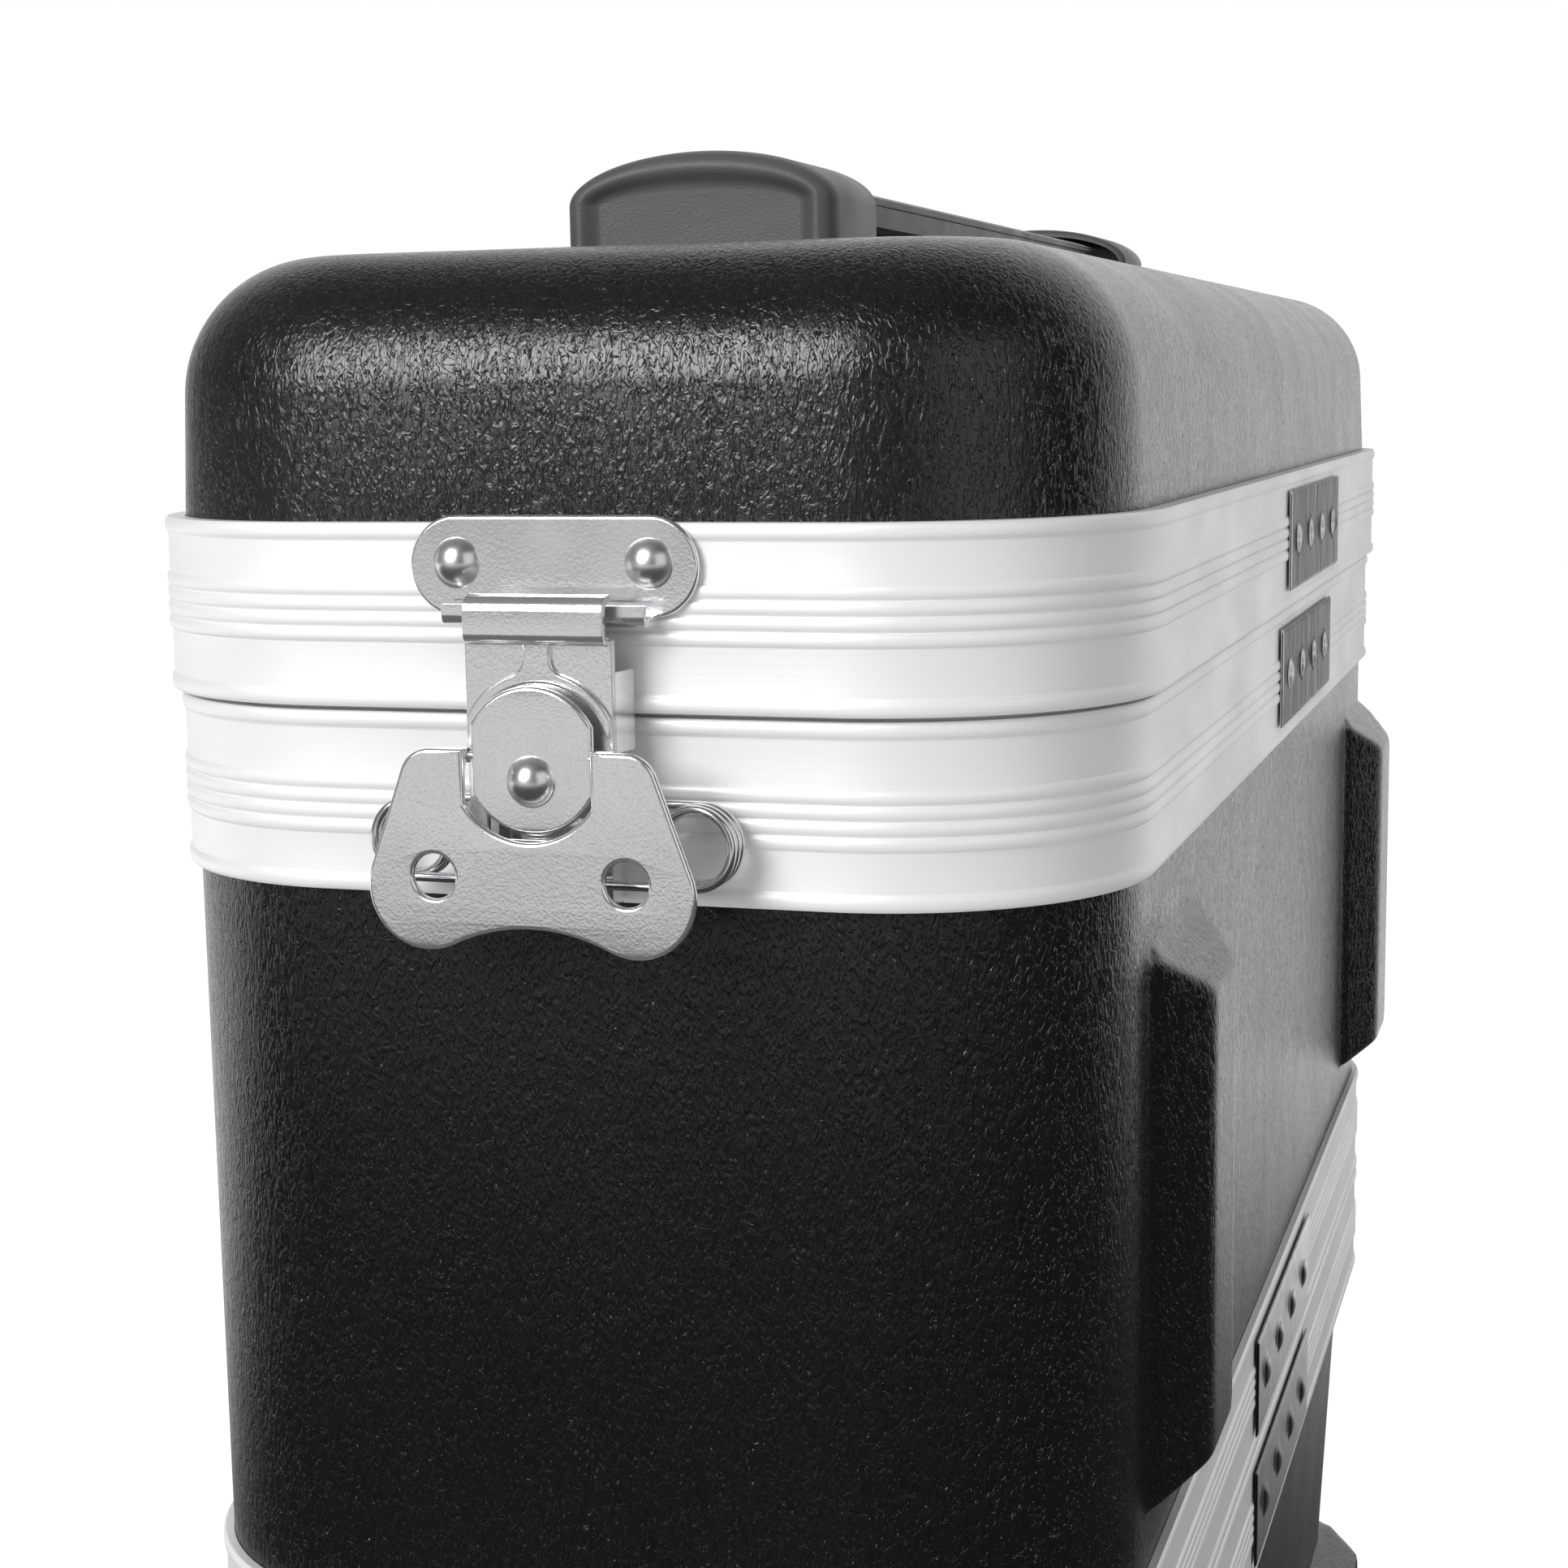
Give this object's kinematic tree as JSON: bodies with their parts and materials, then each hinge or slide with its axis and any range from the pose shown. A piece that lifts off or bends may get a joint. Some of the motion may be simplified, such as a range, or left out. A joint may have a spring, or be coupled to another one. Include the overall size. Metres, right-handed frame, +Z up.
{
  "type": "wireless microphone case",
  "caption": "Upright black moulded transit case with lift-off lid and base, ribbed aluminium valances, twist latches with spring coils, splice plates and a top carry handle.",
  "frame": {"origin": "on the floor under the middle of the whole box", "axes": "+Z up, Y along the case with the pictured narrow end at -Y, +X towards the long face with the stand-off bumps"},
  "size_m": [0.2154, 0.5612, 0.5205],
  "materials": {
    "shell": "grained black polyethylene",
    "valance": "satin extruded",
    "splice": "bright plated",
    "rubber": "soft rubber",
    "foam": "open-cell foam",
    "divider": "flat sheet",
    "handle": "soft-touch",
    "rivet": "bright domed",
    "spring": "bright wire",
    "screw": "plated",
    "latch": "satin plated"
  },
  "bodies": {
    "base": {"base_shell": "shell", "base_valance": "valance", "base_gasket": "rubber", "base_splice_plate": "splice", "base_foam": "foam", "rubber_feet": "rubber", "foot_screws": "screw", "latch_plate_front_lower": "latch", "latch_plate_rear_lower": "latch", "latch_springs_lower": "spring", "latch_rivets_lower": "rivet"},
    "body": {"body_shell": "shell", "body_upper_valance": "valance", "body_lower_valance": "valance", "body_upper_splice_plate": "splice", "body_lower_splice_plate": "splice", "divider_panel": "divider", "body_foam": "foam", "keeper_front_lower": "latch", "keeper_rear_lower": "latch", "keeper_rivets_lower": "rivet", "latch_plate_front_upper": "latch", "latch_plate_rear_upper": "latch", "latch_springs_upper": "spring", "latch_rivets_upper": "rivet"},
    "lid": {"lid_shell": "shell", "lid_valance": "valance", "lid_gasket": "rubber", "lid_splice_plate": "splice", "lid_foam": "foam", "keeper_front_upper": "latch", "keeper_rear_upper": "latch", "keeper_rivets_upper": "rivet", "handle_cap_front": "handle", "handle_cap_rear": "handle", "handle_bolts": "screw"},
    "grip": {"handle_grip": "handle"},
    "cam_front_lower": {"latch_cam_front_lower": "latch", "latch_pivot_front_lower": "rivet"},
    "link_front_lower": {"latch_link_front_lower": "latch"},
    "wing_front_lower": {"latch_wing_front_lower": "latch"},
    "cam_rear_lower": {"latch_cam_rear_lower": "latch", "latch_pivot_rear_lower": "rivet"},
    "link_rear_lower": {"latch_link_rear_lower": "latch"},
    "wing_rear_lower": {"latch_wing_rear_lower": "latch"},
    "cam_front_upper": {"latch_cam_front_upper": "latch", "latch_pivot_front_upper": "rivet"},
    "link_front_upper": {"latch_link_front_upper": "latch"},
    "wing_front_upper": {"latch_wing_front_upper": "latch"},
    "cam_rear_upper": {"latch_cam_rear_upper": "latch", "latch_pivot_rear_upper": "rivet"},
    "link_rear_upper": {"latch_link_rear_upper": "latch"},
    "wing_rear_upper": {"latch_wing_rear_upper": "latch"}
  },
  "joints": [
    {"name": "body_lift", "type": "slide", "parent": "base", "child": "body", "axis": [0, 0, 1], "range_m": [0, 0.25]},
    {"name": "lid_lift", "type": "slide", "parent": "body", "child": "lid", "axis": [0, 0, 1], "range_m": [0, 0.25]},
    {"name": "grip_lift", "type": "slide", "parent": "lid", "child": "grip", "axis": [0, 0, 1], "range_m": [0, 0.0045]},
    {"name": "turn_front_lower", "type": "hinge", "parent": "base", "child": "cam_front_lower", "pos_m": [-0.00355, -0.2714, 0.1824], "axis": [0, -1, 0], "range_deg": [0, 180]},
    {"name": "hook_front_lower", "type": "slide", "parent": "base", "child": "link_front_lower", "axis": [0, 0, 1], "range_m": [0, 0.007]},
    {"name": "fold_front_lower", "type": "hinge", "parent": "cam_front_lower", "child": "wing_front_lower", "pos_m": [-0.00355, -0.2764, 0.1868], "axis": [-1, 0, 0], "range_deg": [0, 90]},
    {"name": "turn_rear_lower", "type": "hinge", "parent": "base", "child": "cam_rear_lower", "pos_m": [-0.00355, 0.2714, 0.1824], "axis": [0, 1, 0], "range_deg": [0, 180]},
    {"name": "hook_rear_lower", "type": "slide", "parent": "base", "child": "link_rear_lower", "axis": [0, 0, 1], "range_m": [0, 0.007]},
    {"name": "fold_rear_lower", "type": "hinge", "parent": "cam_rear_lower", "child": "wing_rear_lower", "pos_m": [-0.00355, 0.2764, 0.1868], "axis": [1, 0, 0], "range_deg": [0, 90]},
    {"name": "turn_front_upper", "type": "hinge", "parent": "body", "child": "cam_front_upper", "pos_m": [-0.00355, -0.2714, 0.4009], "axis": [0, -1, 0], "range_deg": [0, 180]},
    {"name": "hook_front_upper", "type": "slide", "parent": "body", "child": "link_front_upper", "axis": [0, 0, 1], "range_m": [0, 0.007]},
    {"name": "fold_front_upper", "type": "hinge", "parent": "cam_front_upper", "child": "wing_front_upper", "pos_m": [-0.00355, -0.2764, 0.4053], "axis": [-1, 0, 0], "range_deg": [0, 90]},
    {"name": "turn_rear_upper", "type": "hinge", "parent": "body", "child": "cam_rear_upper", "pos_m": [-0.00355, 0.2714, 0.4009], "axis": [0, 1, 0], "range_deg": [0, 180]},
    {"name": "hook_rear_upper", "type": "slide", "parent": "body", "child": "link_rear_upper", "axis": [0, 0, 1], "range_m": [0, 0.007]},
    {"name": "fold_rear_upper", "type": "hinge", "parent": "cam_rear_upper", "child": "wing_rear_upper", "pos_m": [-0.00355, 0.2764, 0.4053], "axis": [1, 0, 0], "range_deg": [0, 90]}
  ],
  "couplings": [
    {"joint": "hook_front_lower", "follows": "turn_front_lower", "m_per_rad": 0.0022282},
    {"joint": "hook_rear_lower", "follows": "turn_rear_lower", "m_per_rad": 0.0022282},
    {"joint": "hook_front_upper", "follows": "turn_front_upper", "m_per_rad": 0.0022282},
    {"joint": "hook_rear_upper", "follows": "turn_rear_upper", "m_per_rad": 0.0022282}
  ]
}
